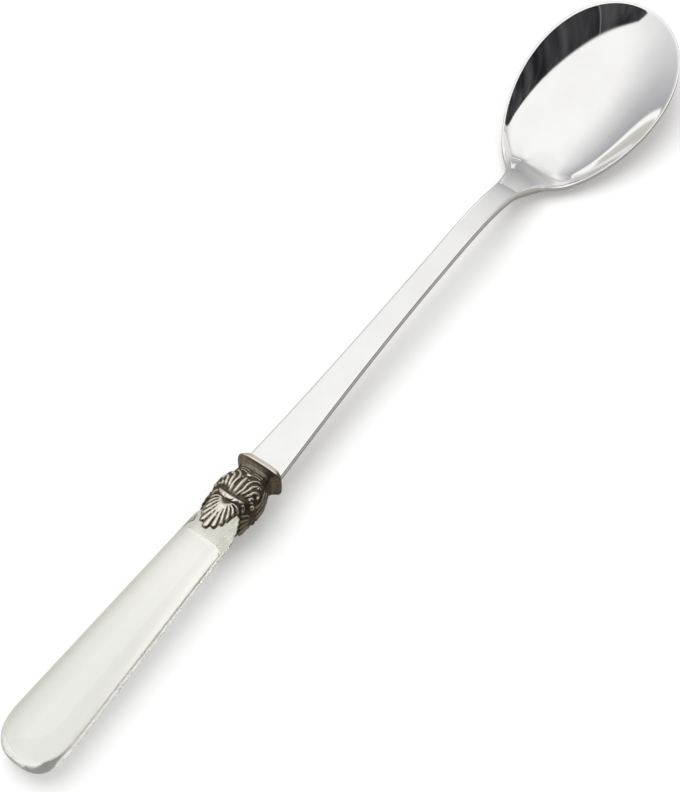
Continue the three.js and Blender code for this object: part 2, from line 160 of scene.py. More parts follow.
def varyRoughness(tree, shader, value, span, roughness):    # from one roughness to the other over the span
    rough = addNode(tree, "ShaderNodeMapRange", links={"Value": value},
                    values={"From Min": span[0], "From Max": span[1],
                            "To Min": roughness[0], "To Max": roughness[1]})
    tree.links.new(rough.outputs["Result"], shader.inputs["Roughness"])


def addClouds(tree, shader, place, size, stops):            # patchy colour, the patches' size in mm
    cloud = addNode(tree, "ShaderNodeTexNoise", values={"Scale": 1 / (size * mm), "Detail": 3},
                    links={"Vector": place}).outputs["Fac"]
    varyColour(tree, shader, cloud, stops)
    return cloud


def addRelief(tree, shader, place, size, height, detail):   # waves or grain, size and height in mm
    relief = addNode(tree, "ShaderNodeTexNoise", values={"Scale": 1 / (size * mm), "Detail": detail},
                     links={"Vector": place}).outputs["Fac"]
    bump = addNode(tree, "ShaderNodeBump", values={"Distance": height * mm}, links={"Height": relief})
    tree.links.new(bump.outputs["Normal"], shader.inputs["Normal"])
    return relief


steelLook = {
    "cloudSize": 9.0,                 # mm, uneven pressure of the polishing wheel
    "colours": [(0.3, "#f3f2f0"), (0.7, "#f8f8f6")],
    "roughness": (0.021, 0.048),      # in the darker and in the lighter patches
    "waveSize": 26.0,                 # mm, long waves that the press left
    "waveHeight": 0.08,               # mm, deeper than the real ones, so that they show
}


def makeSteel():
    # Stainless steel, pressed and mirror polished: reflects its surroundings sharply, with faint waves
    material, tree, shader, place = newMaterial("mirrorPolishedStainlessSteel", {"Metallic": 1})
    look = steelLook
    cloud = addClouds(tree, shader, place, look["cloudSize"], look["colours"])
    span = [position for position, colour in look["colours"]]
    varyRoughness(tree, shader, cloud, span, look["roughness"])
    addRelief(tree, shader, place, look["waveSize"], look["waveHeight"], 1)
    return material


silverLook = {
    "colours": [(0.16, "#3f382d"),    # patina in the recesses
                (0.36, "#756c5c"),
                (0.64, "#a79e8c"),
                (1.0, "#f4eddf")],    # rubbed bright on the crests
    "roughSpan": (0.2, 0.9),          # heights between which the metal gets smoother
    "roughness": (0.48, 0.24),        # in the recesses and on the crests
    "grainSize": 0.6,                 # mm, cast skin
    "grainHeight": 0.02,              # mm
    "grainShare": 0.35,               # how much the grain stirs the patina
}


def makeSilver():
    # Cast white metal, silvered and darkened: brown-black in the recesses, ivory bright where it is rubbed;
    # painted shade darkens it round the sides, and painted light brightens the collar's bar and the inside
    material, tree, shader, place = newMaterial("castAntiqueSilver", {"Metallic": 1})
    look = silverLook
    # the relief attribute holds patina and wear, with painted shade round the sides, a painted highlight on
    # the collar's bar and painted light inside
    height = addNode(tree, "ShaderNodeAttribute", settings={"attribute_name": "relief"}).outputs["Fac"]
    grain = addRelief(tree, shader, place, look["grainSize"], look["grainHeight"], 4)
    stirred = addNode(tree, "ShaderNodeMath", settings={"operation": "MULTIPLY_ADD"},
                      values={1: look["grainShare"]}, links={0: grain, 2: height}).outputs[0]
    varyColour(tree, shader, stirred, look["colours"])
    varyRoughness(tree, shader, stirred, look["roughSpan"], look["roughness"])
    return material


acrylicLook = {
    "colour": "#f7f8f5",
    "cast": "#c4c8be",                # painted shade, grey-green, along the side turned from the light
    "castFrom": -0.3, "castTo": 3.4,  # mm to the left of the middle line, at the spoon's half length
    "castTaper": 0.026,               # how fast that place moves out towards the butt
    "clearness": 0.96,                # the rest is a faint milkiness
    "paintedGlow": 0.03,                # painted glow: a faint even emission from the clear body
    "roughness": 0.025,
    "ior": 1.49,
    "waveSize": 14.0,                 # mm, slow sinks of the moulding
    "waveHeight": 0.012,              # mm
}


def makeAcrylic():
    # Acrylic (PMMA), moulded and polished: clear, bends what is behind it, bright edges; a painted grey-green
    # shade along its left side, and a faint painted glow
    look = acrylicLook
    material, tree, shader, place = newMaterial("clearMouldedAcrylic", {
        "Transmission Weight": look["clearness"], "Roughness": look["roughness"], "IOR": look["ior"],
        "Emission Color": hexColour(look["colour"]), "Emission Strength": look["paintedGlow"]})
    addRelief(tree, shader, place, look["waveSize"], look["waveHeight"], 0)
    # painted shade: the colour turns grey-green towards the handle's left side, its edge moving out towards
    # the butt
    spot = addNode(tree, "ShaderNodeSeparateXYZ", links={"Vector": place}).outputs
    side = addNode(tree, "ShaderNodeMath", settings={"operation": "MULTIPLY_ADD"},
                   values={1: look["castTaper"]}, links={0: spot["X"], 2: spot["Y"]})
    cast = addNode(tree, "ShaderNodeMapRange", settings={"interpolation_type": "SMOOTHSTEP"},
                   values={"From Min": look["castFrom"] * mm, "From Max": look["castTo"] * mm},
                   links={"Value": side.outputs[0]})
    varyColour(tree, shader, cast.outputs["Result"], [(0.0, look["colour"]), (1.0, look["cast"])])
    return material


cementLook = {
    "cloudSize": 2.5,                 # mm
    "colours": [(0.35, "#e6e5dd"), (0.65, "#f3f2ec")],
    "glow": "#f3f2ec",
    "paintedGlowStrength": 0.24,                  # painted glow, standing in for light that the clear handle would carry to it
    "roughness": 0.3,
    "clearness": 0.3,
    "ior": 1.49,
}


def makeCement():
    # Clear epoxy resin, cast round the tang and gone cloudy; a painted glow makes it read as a pale bar in
    # the handle
    look = cementLook
    material, tree, shader, place = newMaterial("cloudedEpoxyResin", {
        "Transmission Weight": look["clearness"], "Roughness": look["roughness"], "IOR": look["ior"],
        "Emission Color": hexColour(look["glow"]), "Emission Strength": look["paintedGlowStrength"]})
    addClouds(tree, shader, place, look["cloudSize"], look["colours"])
    return material


polishedSteel = makeSteel()
antiqueSilver = makeSilver()
clearAcrylic = makeAcrylic()
clearCement = makeCement()
print("materials made")

# Side view of the spoon: the sloping grip, the arched stem, the fall at the neck and the rising rim

sideView = {
    "gripLift": 6.2938, "gripSlope": 0.022,       # the handle's centre line
    "faceX": 81.0,                    # the stem leaves the ferrule here
    "archX": 141.52, "archHeight": 10.6,
    "neckX": 170.0, "neckHeight": 6.3, "neckSlope": -0.55,
    "pickupX": 177.8,                 # the rim's straight line starts here
    "rimHeight": 7.6456, "rimSlope": 0.2263, "bowlCentreX": 197.83,
    "thickness": 1.8,                 # of the stem and the tang
    "blur": 1.6, "blurSteps": 9, "blurFade": 0.9, "blurFrom": (84, 90),   # easing of the joints
}


def gripHeight(x):
    return sideView["gripLift"] + sideView["gripSlope"] * x


def easeBetween(x, x0, z0, slope0, x1, z1, slope1):
    length = x1 - x0
    t = (x - x0) / length
    return ((2 * t ** 3 - 3 * t ** 2 + 1) * z0 + (t ** 3 - 2 * t ** 2 + t) * length * slope0
            + (3 * t ** 2 - 2 * t ** 3) * z1 + (t ** 3 - t ** 2) * length * slope1)


def rimLine(x):
    return sideView["rimHeight"] + (x - sideView["bowlCentreX"]) * sideView["rimSlope"]


def roughTop(x):
    s = sideView
    startHeight = gripHeight(s["faceX"]) + s["thickness"] / 2
    pickup = (s["pickupX"], rimLine(s["pickupX"]), s["rimSlope"])
    neck = (s["neckX"], s["neckHeight"], s["neckSlope"])
    arch = (s["archX"], s["archHeight"], 0)
    return np.select(
        [x < s["faceX"], x < s["archX"], x < s["neckX"], x < s["pickupX"]],
        [startHeight + (x - s["faceX"]) * s["gripSlope"],
         easeBetween(x, s["faceX"], startHeight, s["gripSlope"], *arch),
         easeBetween(x, *arch, *neck),
         easeBetween(x, *neck, *pickup)],
        rimLine(x))


def topHeight(x):                     # the same line with its joints eased, as a mirror shows every kink
    s = sideView
    x = np.asarray(x, float)
    steps = np.linspace(-1, 1, s["blurSteps"])
    weights = 1 - (steps * s["blurFade"]) ** 2
    eased = sum(weight * roughTop(x + step * s["blur"]) for step, weight in zip(steps, weights))
    return lerp(roughTop(x), eased / weights.sum(), easeStep(*s["blurFrom"], x))


# Bowl and stem

bowlForm = {
    "width": 31.6, "depth": 5.0, "wall": 0.9, "hollowPower": 2.05,
    "rimWidth": 0.34, "rimEdge": 0.55,            # the rim's flat, and its thickness
    "edgeRound": 0.15, "edgeRoundX": (166, 174), "innerRound": 0.07,
    "eggStartX": 173.34, "egg": (0.873, 0.231, 0.07), "eggLead": 0.7,
    "outlineStartX": 168.95, "neckRounding": 3.2, "neckFillet": 2.0,
    "ovalPower": 4,                   # how late the hollow's oval bottom takes the outline's egg shape
    "stemWaist": 4.7, "stemStart": 8.4, "stemEdge": 0.32, "narrowX": 152.2, "taperPower": 2.1,
    "flare": 2.0, "flareX": (165.0, 174.0),       # the stem's widening into the bowl
    "neckThickness": 2.1, "thickenX": (165, 170),
    "neckSlope": 0.6, "neckDrop": 0.2,            # how steeply the neck's face falls, and its start
    "neckSides": 14, "sidesLean": (168, 182),     # steepness of the walls beside it, and where they ease
    "neckEnds": (176, 188), "hollowFromX": 160,
    "leastHalf": 0.1, "pastWall": 1.1,            # limits for places beyond the outline
    "leastWall": (0.6, 0.2),          # in the middle and at the rim
    "footRound": (0.06, 0.3), "footEnds": (180, 188),
    "barEnds": (170, 179), "barSide": (3.0, 6.0), "barSideX": (168.5, 171),   # the stem, run out below
    "underRound": 0.5, "underRoundX": (166, 169),
    "restRound": 0.1, "restSink": 0.003,          # the worn place that the bowl stands on
    "cutX": 166.0,                    # the bowl's rings end here and the stem goes on
    "tipSide": 288, "cutSide": 16,    # segments round the outline and across the cut
    "outlineSteps": 6000, "edgeSearch": (0.6, 1, 400),
    "reachMost": 2.5, "reachSteps": 46,           # limits of the search for a place's reach
    "hollowRings": 44, "rimRings": 9, "sideRings": 8, "tangRings": 8,
    "crowdOut": 0.75, "crowdEnds": 0.6,           # how far the rings crowd towards the edges
    "shoulderX": 80.35, "shoulderStep": 0.02,     # where the stem ends and the tang goes on
    "tangEndX": 61.6, "tangWidth": 4.4,
    "sharpAngle": 50,                 # degrees, past which an edge stays sharp
}


def stemHalf(x):
    f = bowlForm
    left = clamp01((f["narrowX"] - x) / (f["narrowX"] - sideView["faceX"]))
    start, end = f["flareX"]
    flare = clamp01((x - start) / (end - start))
    return lerp(f["stemWaist"], f["stemStart"], left ** f["taperPower"]) / 2 + f["flare"] * flare ** 2


def eggHalf(x):
    f = bowlForm
    q = (x - f["eggStartX"]) / (spoonLength - f["eggStartX"])
    inside = clamp01(q)
    fullness = f["egg"][0] + f["egg"][1] * inside + f["egg"][2] * inside ** 2
    half = f["width"] * np.sqrt(inside * (1 - inside)) * fullness
    return np.where(q < 0, (x - f["eggStartX"]) * f["eggLead"], half)


def spoonHalf(x):
    stem, egg = stemHalf(x), eggHalf(x)
    fillet = bowlForm["neckFillet"] * clamp01((spoonLength - x) / (spoonLength - sideView["neckX"]))
    return (stem + egg + np.hypot(stem - egg, fillet)) / 2


def planHalf(x):                      # half width of the whole spoon in plan
    return np.where(x > sideView["bowlCentreX"], eggHalf(x), spoonHalf(x))


def bowlHalf(x):                      # half width of the bowl alone, closed by a round end in the neck
    f = bowlForm
    opened = clamp01((x - f["outlineStartX"]) / f["neckRounding"])
    return planHalf(x) * np.sqrt(opened * (2 - opened))


def bowlReach(x, y):                  # 0 at the bowl's middle, 1 on its outline, found by halving
    f = bowlForm
    centreX, startX = sideView["bowlCentreX"], f["outlineStartX"]
    middle, half = (startX + spoonLength) / 2, (spoonLength - startX) / 2
    low = np.maximum((centreX - x) / (centreX - startX), (x - centreX) / (spoonLength - centreX))
    low = np.maximum(low, tiny)
    high = np.full_like(low, f["reachMost"])
    for step in range(f["reachSteps"]):
        reach = (low + high) / 2
        outerX = np.clip(centreX + (x - centreX) / reach, startX, spoonLength)
        oval = f["width"] / 2 * np.sqrt(np.maximum(0, 1 - ((outerX - middle) / half) ** 2))
        edge = reach * lerp(oval, bowlHalf(outerX), np.minimum(reach, 1) ** f["ovalPower"])
        inside = edge < np.abs(y)
        low = np.where(inside, reach, low)
        high = np.where(inside, high, reach)
    return (low + high) / 2


def hollowReach(x, y):                # the same, with 1 on the hollow's edge
    f = bowlForm
    centreX = sideView["bowlCentreX"]
    scaleX = 1 - f["rimWidth"] / (spoonLength - centreX)
    scaleY = 1 - f["rimWidth"] / (f["width"] / 2)
    return bowlReach(centreX + (x - centreX) / scaleX, y / scaleY)


def neckFall(x):                      # how far the neck's face has fallen below the rim's line
    f = bowlForm
    faceHeight = sideView["neckHeight"] - f["neckDrop"] - (x - sideView["neckX"]) * f["neckSlope"]
    return topHeight(x) - faceHeight


def upperFace(x, y):                  # side walls and neck run into each other round a quarter turn
    f = bowlForm
    half = np.maximum(planHalf(x) - f["rimWidth"], f["leastHalf"])
    steep = lerp(f["neckSides"], f["hollowPower"], easeStep(*f["sidesLean"], x))
    sides = f["depth"] * (1 - np.minimum(np.abs(y) / half, f["pastWall"]) ** steep)
    reach = hollowReach(x, y)
    hollow = f["depth"] * (1 - reach ** f["hollowPower"])
    walls = f["depth"] - lerp(sides, hollow, easeStep(*f["neckEnds"], x))
    fall = np.maximum(f["depth"] - neckFall(x), 0)
    dip = softMax(f["depth"] - np.hypot(np.maximum(walls, 0), fall), 0, f["innerRound"])
    outward = clamp01(reach) ** 2
    least = lowerFace(x, y) + lerp(*f["leastWall"], outward)
    sharp, soft = f["footRound"]
    foot = sharp + soft * (1 - easeStep(*f["footEnds"], x)) * (1 - outward)
    return np.where(x < f["hollowFromX"], topHeight(x), softMax(topHeight(x) - dip, least, foot))


def stemThick(x):
    return lerp(sideView["thickness"], bowlForm["neckThickness"], easeStep(*bowlForm["thickenX"], x))


def lowerFace(x, y):
    f = bowlForm
    dip = f["rimEdge"] + (f["depth"] + f["wall"] - f["rimEdge"]) * (1 - bowlReach(x, y) ** f["hollowPower"])
    beside = easeStep(*f["barSide"], np.abs(y)) * easeStep(*f["barSideX"], x)
    bar = lerp(f["rimEdge"], stemThick(x), (1 - easeStep(*f["barEnds"], x)) * (1 - beside))
    height = topHeight(x) - softMax(dip, bar, f["underRound"] * easeStep(*f["underRoundX"], x))
    return np.maximum(softMax(height, 0, f["restRound"]) - f["restSink"], 0)


def outlineTable():                   # the outline from one end of the cut, round the tip, to the other
    f = bowlForm
    angle = np.linspace(0, math.pi, f["outlineSteps"])
    middle, half = (f["cutX"] + spoonLength) / 2, (spoonLength - f["cutX"]) / 2
    x = middle - half * np.cos(angle)
    y = planHalf(x)
    y[-1] = 0
    return np.concatenate([x, x[-2::-1]]), np.concatenate([-y, y[-2::-1]])


def makeBowlAndStem():
    f = bowlForm
    centreX = sideView["bowlCentreX"]
    segments = f["tipSide"] + f["cutSide"]
    rings = 2 * (f["hollowRings"] + f["rimRings"]) + f["sideRings"]
    piece, ring, segment = startSphere("bowlAndStem", segments, rings)

    tableX, tableY = outlineTable()
    run = np.concatenate([[0], np.cumsum(np.hypot(np.diff(tableX), np.diff(tableY)))])
    wanted = np.linspace(0, run[-1], f["tipSide"] + 1)
    outX, outY = np.interp(wanted, run, tableX), np.interp(wanted, run, tableY)
    tangent = np.stack([np.gradient(outX), np.gradient(outY)], -1)
    normal = np.stack([tangent[:, 1], -tangent[:, 0]], -1) / np.hypot(*tangent.T)[:, None]
    normal[0], normal[-1] = (0, -1), (0, 1)
    cutShare = np.linspace(1, -1, f["cutSide"] + 1)[1:-1]
    outX = np.concatenate([outX, np.full(f["cutSide"] - 1, f["cutX"])])
    cutHalf = outY[f["tipSide"]]
    outY = np.concatenate([outY, cutShare * cutHalf])
    normal = np.concatenate([normal, np.zeros((f["cutSide"] - 1, 2))])

    # where the hollow's edge lies on the line from the bowl's middle to each outline point
    probe = np.linspace(*f["edgeSearch"])[:, None]
    probeX, probeY = centreX + (outX - centreX) * probe, outY * probe
    reached = hollowReach(probeX.ravel(), probeY.ravel()).reshape(probeX.shape)
    share = np.array([np.interp(1, reached[:, j], probe[:, 0]) for j in range(segments)])
    hollowX, hollowY = centreX + (outX - centreX) * share, outY * share

    tableShape = (rings + 1, segments)
    gridX, gridY, gridZ = np.zeros(tableShape), np.zeros(tableShape), np.zeros(tableShape)
    edge = lerp(f["stemEdge"], f["edgeRound"], easeStep(*f["edgeRoundX"], outX))
    insetX, insetY = outX - normal[:, 0] * edge, outY - normal[:, 1] * edge
    insetY[f["tipSide"] + 1:] = cutShare * (cutHalf - f["stemEdge"])
    plan = []
    for i in range(f["hollowRings"] + 1):
        t = i / f["hollowRings"]
        reach = lerp(t, math.sin(t * math.pi / 2), f["crowdOut"])
        plan.append((centreX + (hollowX - centreX) * reach, hollowY * reach))
    for i in range(1, f["rimRings"] + 1):
        t = i / f["rimRings"]
        t = lerp(t, 0.5 - 0.5 * math.cos(t * math.pi), f["crowdEnds"])
        plan.append((lerp(hollowX, insetX, t), lerp(hollowY, insetY, t)))
    for i, (x, y) in enumerate(plan):
        gridX[i], gridY[i], gridZ[i] = x, y, upperFace(x, y)
        gridX[rings - i], gridY[rings - i], gridZ[rings - i] = x, y, lowerFace(x, y)
    last = len(plan) - 1
    upper, lower = gridZ[last], gridZ[rings - last]
    for k in range(1, f["sideRings"]):
        half = f["sideRings"] // 2
        upward = k <= half
        angle = (k if upward else f["sideRings"] - k) / half * math.pi / 2
        rounding = np.minimum(edge, (upper - lower) / 2)
        gridX[last + k] = insetX + normal[:, 0] * edge * math.sin(angle)
        gridY[last + k] = insetY + normal[:, 1] * edge * math.sin(angle)
        drop = rounding * (1 - math.cos(angle))
        gridZ[last + k] = upper - drop if upward else lower + drop
    places = np.stack([gridX[ring, segment], gridY[ring, segment], gridZ[ring, segment]], -1)
    writePlaces(piece, toFrame(places))

    # open the cut, and draw the stem and the tang out of it
    inCut = np.zeros(segments, bool)
    inCut[f["tipSide"]:] = True
    inCut[0] = True
    ringSide = (ring >= last) & (ring <= rings - last)
    openVertex = ringSide & inCut[segment]
    bpy.ops.object.mode_set(mode="EDIT")
    bpy.ops.mesh.select_mode(type="FACE")
    bpy.ops.mesh.select_all(action="DESELECT")
    bpy.ops.object.mode_set(mode="OBJECT")
    for polygon in piece.data.polygons:
        polygon.select = all(openVertex[v] for v in polygon.vertices)
    bpy.ops.object.mode_set(mode="EDIT")
    bpy.ops.mesh.delete(type="FACE")
    bpy.ops.mesh.select_mode(type="VERT")
    bpy.ops.mesh.select_all(action="DESELECT")
    bpy.ops.mesh.select_non_manifold()
    count = int(round(f["cutX"] - f["shoulderX"]))
    stations = list(np.linspace(f["cutX"], f["shoulderX"], count + 1))
    stations += list(np.linspace(f["shoulderX"] - f["shoulderStep"], f["tangEndX"], f["tangRings"] + 1))
    for before, after in zip(stations, stations[1:]):
        bpy.ops.mesh.extrude_region_move(TRANSFORM_OT_translate={"value": ((after - before) * mm, 0, 0)})
    bpy.ops.mesh.edge_face_add()
    bpy.ops.object.mode_set(mode="OBJECT")

    # give what was drawn out its width and height
    places = readPlaces(piece) / mm
    places[:, 0] += halfLength
    near = f["shoulderStep"] / 2
    drawn = places[:, 0] < f["cutX"] - near
    x, y, z = places[drawn].T
    cutTop = float(topHeight(f["cutX"]))
    cutThick = float(stemThick(f["cutX"]))
    tang = x < f["shoulderX"] - near
    half = np.where(tang, f["tangWidth"] / 2, planHalf(x))
    edgeDepth = cutHalf - np.abs(y)
    rounded = edgeDepth < f["stemEdge"] - tiny
    inner = y / (cutHalf - f["stemEdge"]) * (half - f["stemEdge"])
    y = np.where(rounded, np.sign(y) * (half - edgeDepth), inner)
    places[drawn, 1] = y
    top = np.where(tang, gripHeight(x) + sideView["thickness"] / 2, topHeight(x))
    places[drawn, 2] = top - (cutTop - z) * stemThick(x) / cutThick
    writePlaces(piece, toFrame(places))
    finishPiece(piece, "bowl_and_stem", polishedSteel, f["sharpAngle"])
    return piece


bowlAndStem = makeBowlAndStem()

# Handle

handleForm = {
    "butt": (14.9, 13.9), "front": (9.95, 9.1),   # width and height at the ends of the shown length
    "shownLength": 60.6,
    "rounding": 10.8, "roundPower": 2.9, "roundCrowd": 1.3, "sectionPower": 2.3,
    "shoulderX": 63.8, "shoulderLength": 2.6, "step": 0.65, "endX": 72.2,
    "restEase": 0.981,                # lower half, eased to stand on the table
    "socket": (5.8, 3.2), "socketEndX": 60.4,     # width and height of the socket, and where it ends
    "faceRings": (0.04, 0.5, 1.0),    # from the spigot's edge in to the socket's mouth
    "floorRings": (0.96, 0.5, 0.0),   # from the socket's wall in to the middle of its floor
    "segments": 128, "buttRings": 26, "bodyRings": 40, "spigotRings": 14, "socketRings": 8,
    "girthSteps": 4001, "sharpAngle": 35,
}


def handleHalf(x, which):             # half width where which is 0, half height where it is 1
    f = handleForm
    straight = lerp(f["butt"][which], f["front"][which], x / f["shownLength"]) / 2
    end = 1 - clamp01(x / f["rounding"])
    seated = easeStep(f["shoulderX"], f["shoulderX"] + f["shoulderLength"], x)
    return straight * (1 - end ** f["roundPower"]) ** (1 / f["roundPower"]) - seated * f["step"]


def roundSection(halfWidth, halfHeight, angle, power):
    across, up = np.sin(angle), np.cos(angle)
    y = halfWidth * np.sign(across) * np.abs(across) ** (2 / power)
    z = halfHeight * np.sign(up) * np.abs(up) ** (2 / power)
    return y, z


def slotSection(size, angle):         # a plain slot of that width and height
    across, up = np.sin(angle), np.cos(angle)
    toSide = size[0] / 2 / np.maximum(np.abs(across), tiny)
    toTop = size[1] / 2 / np.maximum(np.abs(up), tiny)
    reach = np.minimum(toSide, toTop)
    return reach * across, reach * up


def placeRing(x, y, z):               # a section set across the grip's centre line
    x = np.broadcast_to(x, y.shape)
    return np.stack([x, y, gripHeight(x) + z], -1)


def evenAngles(size, power, count):   # angles that share the section's girth evenly
    angle = np.linspace(0, 2 * math.pi, handleForm["girthSteps"])
    y, z = roundSection(*size, angle, power)
    run = np.concatenate([[0], np.cumsum(np.hypot(np.diff(y), np.diff(z)))])
    return np.interp(np.arange(count) / count * run[-1], run, angle)


def makeHandle():
    f = handleForm
    turns = np.linspace(0, math.pi / 2, f["buttRings"] + 1)[1:]
    stations = list(f["rounding"] * (1 - np.cos(turns)) ** f["roundCrowd"])
    stations += list(np.linspace(f["rounding"], f["shoulderX"], f["bodyRings"] + 1)[1:])
    stations += list(np.linspace(f["shoulderX"], f["endX"], f["spigotRings"] + 1)[1:])
    angle = evenAngles(f["front"], f["sectionPower"], f["segments"])
    rows = [placeRing(0, 0 * angle, 0 * angle)]
    for x in stations:
        rows.append(placeRing(x, *roundSection(handleHalf(x, 0), handleHalf(x, 1), angle, f["sectionPower"])))
    spigotEdge = rows[-1]
    slotY, slotZ = slotSection(f["socket"], angle)
    rows += [lerp(spigotEdge, placeRing(f["endX"], slotY, slotZ), t) for t in f["faceRings"]]
    for x in np.linspace(f["endX"], f["socketEndX"], f["socketRings"] + 1)[1:]:
        rows.append(placeRing(x, slotY, slotZ))
    rows += [placeRing(f["socketEndX"], slotY * t, slotZ * t) for t in f["floorRings"]]
    piece, ring, segment = startSphere("handleBody", f["segments"], len(rows) - 1)
    places = np.array(rows)[ring, segment]
    middle = gripHeight(places[:, 0])
    below = places[:, 2] < middle
    places[below, 2] = lerp(middle, places[:, 2], f["restEase"])[below]
    writePlaces(piece, toFrame(places))
    finishPiece(piece, "handle", clearAcrylic, f["sharpAngle"])
    return piece


handleBody = makeHandle()

# Ferrule: a cast sleeve with a ribbed leaf, a tie, curling ribs and beads, the same above and below

ferruleForm = {
    "columns": 336,                   # round the sleeve
    "edgeRows": 66, "edgeCrowd": 0.9, "bodyRows": 104, "collarRows": 34,
    "girthRadius": 5.2,               # what places round the sleeve are measured on
    "edgeX": 67.9, "lobeDepth": 0.62,             # the edge between the leaves' lobes, and a lobe's depth
    "leafRootX": 68.9, "collarX": 78.2, "faceX": 81.0,
    "lapEnds": (67.0, 70.5),          # where the sleeve leaves the handle
    "fit": 0.07,                      # between the sleeve and the handle
    "leafStand": 0.34,                # the leaf's base over the handle
    "ground": 0.1, "groundStarts": (60.5, 61.5), "groundEnds": (77.6, 78.4),   # sunk between the ribs
    "lip": 0.16, "lipRows": 1.6,      # the edge turned down to the handle
    "ribStart": (7, 0.35), "ribEnd": (9, 0.45),   # how steeply a rib rises at its ends, and from what share
    "seat": (8.9, 2.4), "seatX": 80.1, "passage": (4.9, 2.4),   # recess for the stem, and slot for the tang
    "faceRings": (0.12, 0.6, 1.0),    # from the collar's edge in to the recess
    "cupEndX": 72.4, "cupRings": (70.5, 69.4),    # the cup on the handle, from its end back
    "cupRootX": 69.2, "leafRings": (0.7, 0.35, 0.0), "edgeInset": 0.03,
    "sharpAngle": 60,
}

# The tie over the leaves' roots: a bow, full in the middle and drawn to a point at each side, with creases
tieForm = {
    "middleX": 69.6, "sweep": 0.095, "half": 0.68, "leastHalf": 0.02, "reach": 3.15, "pointPower": 0.6,
    "height": 0.47, "heightReach": 3.25, "fullness": 0.7,
    "creases": (0.75, 1.65), "creaseX": 69.3, "creaseLean": 0.5, "creaseWidth": 0.16, "creaseDepth": 0.35,
    "creaseEnds": (69.6, 70.4),
}

# Brightness from patina in the recesses to wear on the crests, on the collar and on its bar, with painted
# shade where it fades round the sides; the bar is a painted highlight as well as rubbed, and the inside is
# painted light
wearAndPaintedLight = {
    "least": 0.08, "crestHeight": 0.38, "power": 1.05, "sideShade": 0.45, "sides": (4.0, 5.6),
    "collar": 0.3, "collarX": (77.9, 78.5), "collarSideShade": 0.4, "collarSides": (4, 6),
    "barX": (79.72, 79.9), "barSideShade": 0.8, "barSides": (3.0, 4.4),
    "inside": 0.95,
}

# Half widths and half heights of the plain sleeve, and how square it is, at places along it
sleeveStations = [
    (60.6, 4.45, 5.1, 2.3), (69.0, 4.9, 5.0, 2.3), (71.2, 5.4, 5.0, 2.3), (74.0, 5.28, 4.9, 2.3),
    (76.8, 4.36, 3.98, 2.4), (77.9, 4.1, 3.72, 2.8), (78.7, 4.3, 3.8, 3.2), (79.4, 5.0, 4.2, 3.3),
    (79.75, 5.42, 4.48, 3.3), (80.05, 5.45, 4.5, 3.3), (81.0, 4.65, 3.95, 3.3),
]

# Lobes of the leaves' edge: place along, place round, radius
edgeLobes = [
    (60.95, 0.0, 0.55), (61.9, 1.2, 0.62), (63.45, 2.1, 0.66), (65.0, 2.85, 0.66), (66.6, 3.3, 0.62),
    (68.0, 3.72, 0.5), (66.0, 8.17, 0.62), (66.45, 7.1, 0.62), (67.2, 6.05, 0.6), (68.0, 5.15, 0.55),
]

# Carved ribs: places along the spoon and round from the centre line, half width at each end, height
carvedRibs = {
    "leaf": [
        [(68.0, 0.0), (64.5, 0.0), (61.3, 0.0), 0.2, 0.46, 0.34],
        [(68.1, 0.22), (65.2, 0.62), (62.2, 1.15), 0.2, 0.48, 0.34],
        [(68.2, 0.42), (66.0, 1.2), (63.75, 2.0), 0.2, 0.48, 0.34],
        [(68.35, 0.6), (67.0, 1.75), (65.3, 2.72), 0.2, 0.46, 0.34],
        [(68.5, 0.8), (67.9, 2.1), (66.8, 3.15), 0.2, 0.42, 0.32],
        [(68.75, 0.95), (68.75, 2.3), (68.1, 3.62), 0.2, 0.38, 0.3],
    ],
    "curls": [
        [(71.0, 0.0), (73.6, 0.0), (75.7, 0.0), 0.26, 0.17, 0.3],
        [(71.0, 0.62), (72.6, 0.98), (74.3, 0.98), (75.5, 1.3), (76.2, 2.1), (76.45, 3.1), 0.3, 0.24, 0.4],
        [(71.7, 1.35), (73.2, 1.85), (74.4, 2.05), (75.1, 2.55), (75.5, 3.35), (75.4, 4.1), 0.3, 0.24, 0.42],
        [(71.9, 2.35), (72.9, 2.75), (73.7, 3.1), (74.1, 3.7), (73.9, 4.4), (73.2, 4.7), 0.3, 0.26, 0.42],
        [(72.6, 3.9), (72.4, 3.4), (71.9, 3.3), (71.6, 3.8), (71.9, 4.4), 0.26, 0.22, 0.34],
        [(76.9, 0.75), (77.05, 1.6), (77.0, 2.7), 0.2, 0.16, 0.26],
        [(77.5, 0.3), (77.6, 1.6), (77.5, 3.2), 0.17, 0.15, 0.22],
        [(78.05, 0.0), (78.1, 1.8), (78.0, 3.6), 0.16, 0.14, 0.2],
    ],
    "sides": [
        [(71.6, 5.9), (73.6, 6.2), (76.2, 5.6), 0.34, 0.24, 0.28],
        [(71.4, 7.0), (74.0, 7.1), (76.6, 6.6), 0.34, 0.24, 0.28],
        [(71.2, 8.17), (74.0, 8.17), (76.9, 8.17), 0.36, 0.26, 0.3],
        [(69.0, 8.17), (67.6, 8.17), (66.35, 8.17), 0.24, 0.4, 0.3],
        [(69.2, 7.7), (68.0, 7.3), (66.8, 7.0), 0.2, 0.38, 0.28],
        [(69.4, 7.2), (68.5, 6.5), (67.5, 5.95), 0.2, 0.36, 0.28],
        [(69.8, 6.4), (69.2, 5.7), (68.3, 5.1), 0.2, 0.32, 0.26],
        [(70.0, 3.2), (69.6, 3.9), (69.0, 4.4), 0.3, 0.3, 0.26],
    ],
}

# Beads: place along, place round, radius, height
beads = [
    (76.45, 0.0, 0.5, 0.46), (75.35, 0.62, 0.26, 0.3), (75.15, 3.35, 0.3, 0.34), (76.9, 0.42, 0.24, 0.2),
    (71.2, 5.1, 0.62, 0.4),
]


def sleeveShape(x):
    stations = np.array(sleeveStations)
    return [np.interp(x, stations[:, 0], stations[:, k]) for k in (1, 2, 3)]


